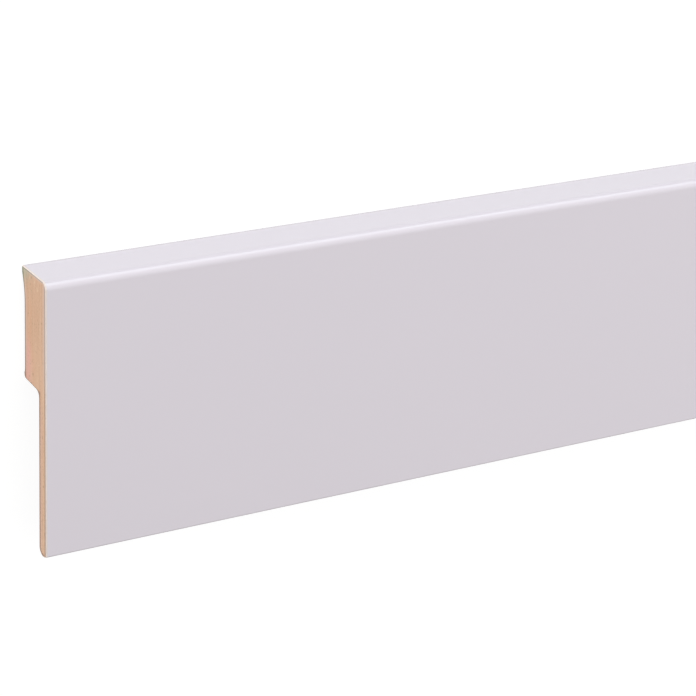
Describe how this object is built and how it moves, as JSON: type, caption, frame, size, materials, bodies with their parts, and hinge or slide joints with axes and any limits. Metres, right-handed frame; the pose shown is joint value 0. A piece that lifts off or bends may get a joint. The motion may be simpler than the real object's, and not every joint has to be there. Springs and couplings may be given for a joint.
{
  "type": "skirting board length",
  "caption": "Cover skirting board, 2.4 m long: white-coated milled fibreboard with a rounded top front edge, a hollowed back and a rebate that fits over an old skirting.",
  "frame": {"origin": "under the middle of the board, on the plane of its top lip, the lowest part of the board as it lies on its back", "axes": "+X along the length, +Y towards the top edge, +Z out of the front face, which is up as the board lies"},
  "size_m": [2.4, 0.1, 0.019],
  "materials": {
    "coated_fibreboard": "satin",
    "raw_fibreboard": "matte"
  },
  "bodies": {
    "root": {"skirting_board": "coated_fibreboard"}
  },
  "joints": []
}
